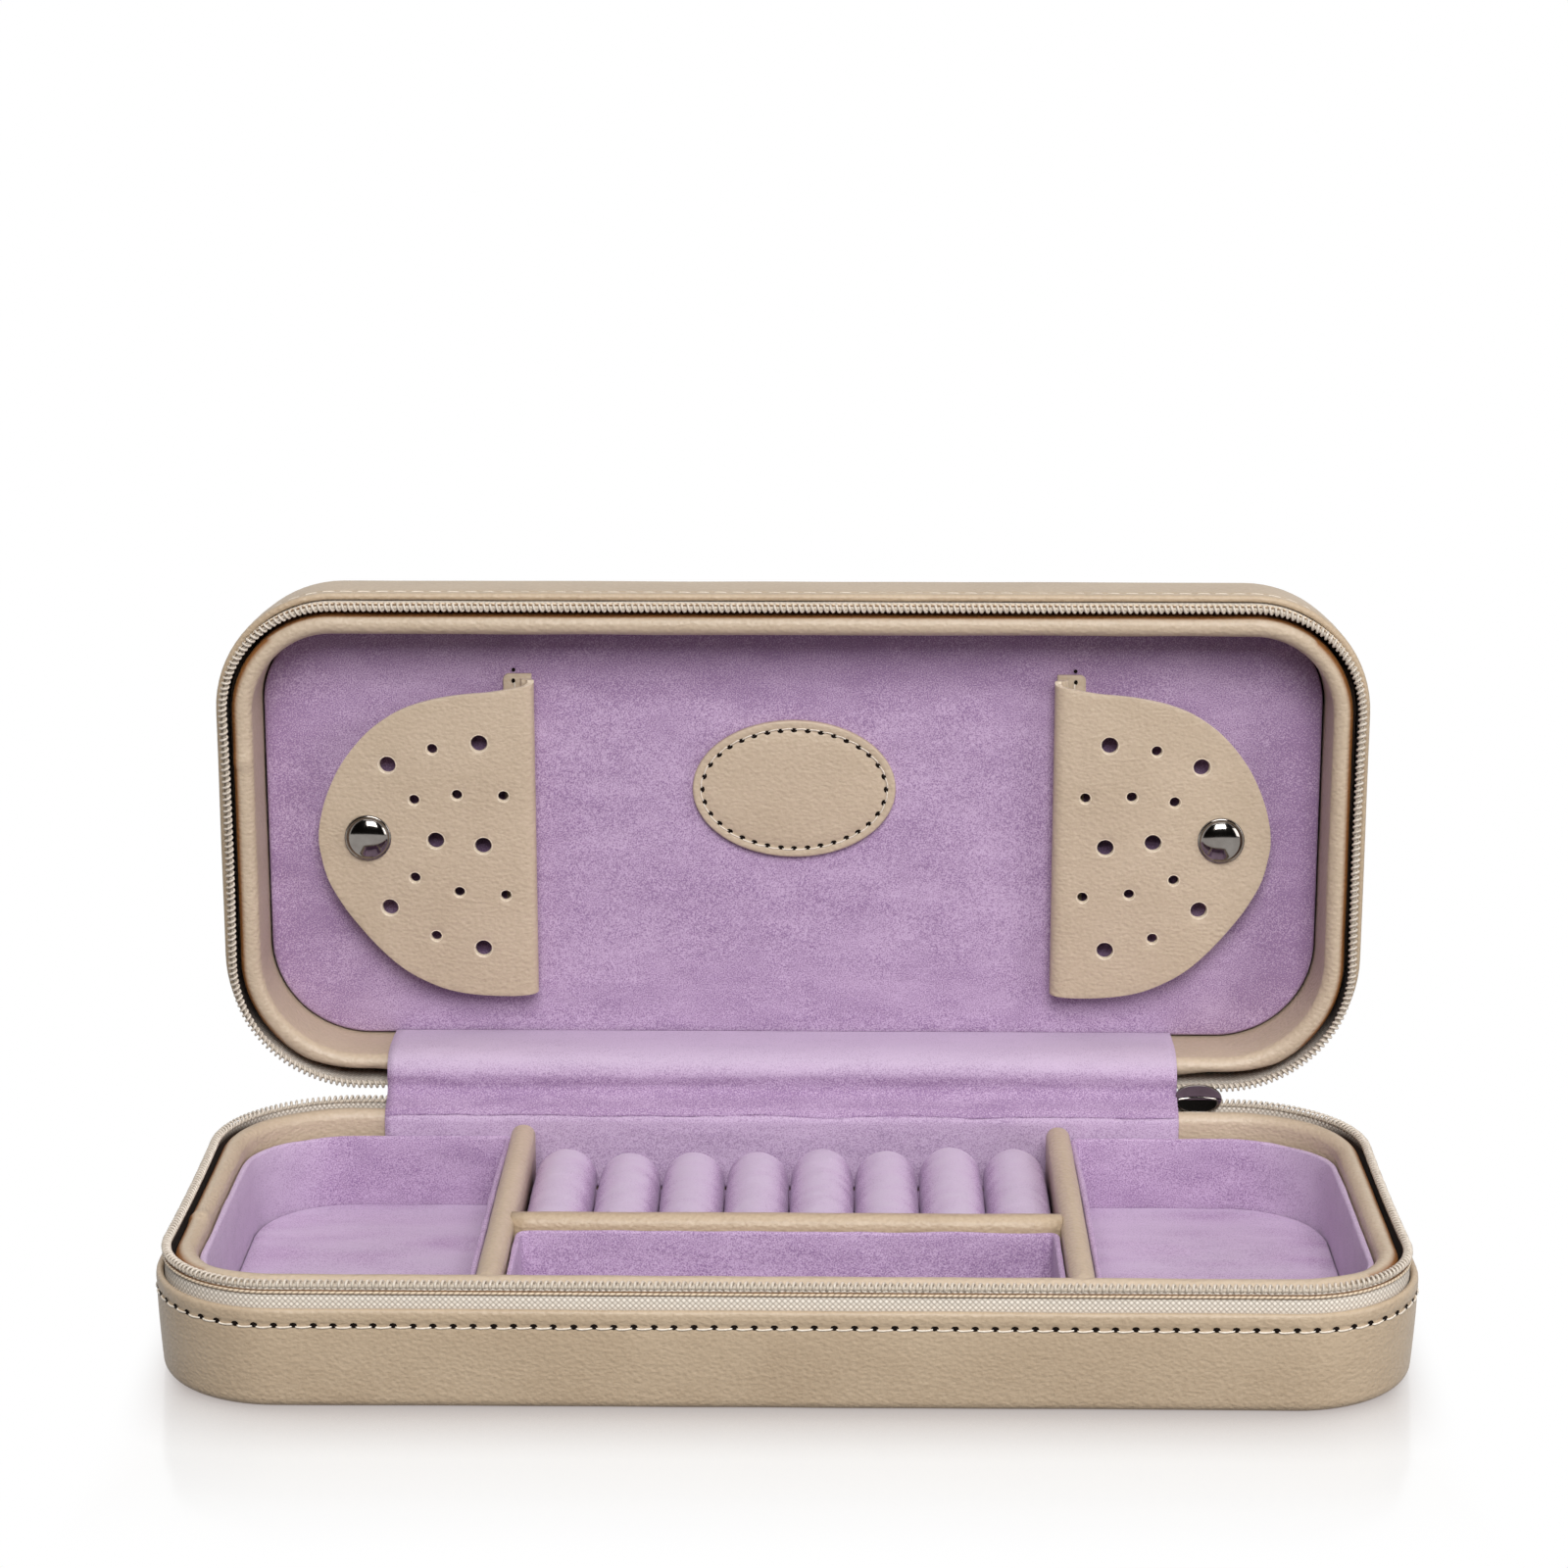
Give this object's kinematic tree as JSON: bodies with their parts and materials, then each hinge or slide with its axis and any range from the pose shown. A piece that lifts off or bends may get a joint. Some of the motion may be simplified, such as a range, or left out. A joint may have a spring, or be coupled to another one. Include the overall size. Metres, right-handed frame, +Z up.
{
  "type": "travel jewellery case",
  "caption": "Zip-around leather travel jewellery case with velvet trays, ring rolls between padded dividers, and snap-down earring flaps inside its hinged lid.",
  "frame": {"origin": "centre of the base's underside", "axes": "+Z up, +X to the right and +Y to the back, as seen from the front with the lid open"},
  "size_m": [0.24, 0.132, 0.132],
  "materials": {
    "leather": "fine-grained, satin, warm beige",
    "velvet": "short lavender nap",
    "zip_tape": "woven, beige",
    "zip_coil": "nylon coil, beige",
    "stiffener": "matte",
    "padding": "soft wadding",
    "chrome": "polished, dark"
  },
  "bodies": {
    "base": {"base_cover": "leather", "base_board": "stiffener", "base_rim": "leather", "base_zip_tape": "zip_tape", "base_zip_coil": "zip_coil", "tub_left": "velvet", "tub_right": "velvet", "trough_front": "velvet", "divider_left": "leather", "divider_right": "leather", "divider_cross": "leather", "ring_bed": "velvet", "ring_roll_1": "velvet", "ring_roll_2": "velvet", "ring_roll_3": "velvet", "ring_roll_4": "velvet", "ring_roll_5": "velvet", "ring_roll_6": "velvet", "ring_roll_7": "velvet", "ring_roll_8": "velvet", "velvet_hinge": "velvet", "spine": "leather"},
    "lid": {"lid_cover": "leather", "lid_board": "stiffener", "lid_pad": "padding", "lid_panel": "velvet", "lid_rim": "leather", "lid_zip_tape": "zip_tape", "lid_zip_coil": "zip_coil", "badge": "leather", "flap_seam_left": "leather", "flap_seam_right": "leather", "snap_stud_left": "chrome", "snap_stud_right": "chrome"},
    "flap_left": {"flap_left": "leather", "snap_cap_left": "chrome", "snap_socket_left": "chrome"},
    "flap_right": {"flap_right": "leather", "snap_cap_right": "chrome", "snap_socket_right": "chrome"},
    "slider": {"zip_slider": "chrome"},
    "puller": {"zip_puller": "chrome"}
  },
  "joints": [
    {"name": "lid_hinge", "type": "hinge", "parent": "base", "child": "lid", "pos_m": [0, 0.0529, 0.0256], "axis": [1, 0, 0], "range_deg": [0, 90], "deforming": ["velvet_hinge", "spine"]},
    {"name": "flap_left_fold", "type": "hinge", "parent": "lid", "child": "flap_left", "pos_m": [-0.0564, 0.0661, 0.0785], "axis": [0, 0, 1], "range_deg": [0, 170]},
    {"name": "flap_right_fold", "type": "hinge", "parent": "lid", "child": "flap_right", "pos_m": [0.0572, 0.0661, 0.0785], "axis": [0, 0, -1], "range_deg": [0, 170]},
    {"name": "zip_slide", "type": "slide", "parent": "base", "child": "slider", "axis": [1, 0, 0], "range_m": [0, 0.002]},
    {"name": "puller_hinge", "type": "hinge", "parent": "slider", "child": "puller", "pos_m": [0.08615, 0.0547, 0.023], "axis": [1, 0, 0], "range_deg": [0, 85]}
  ]
}
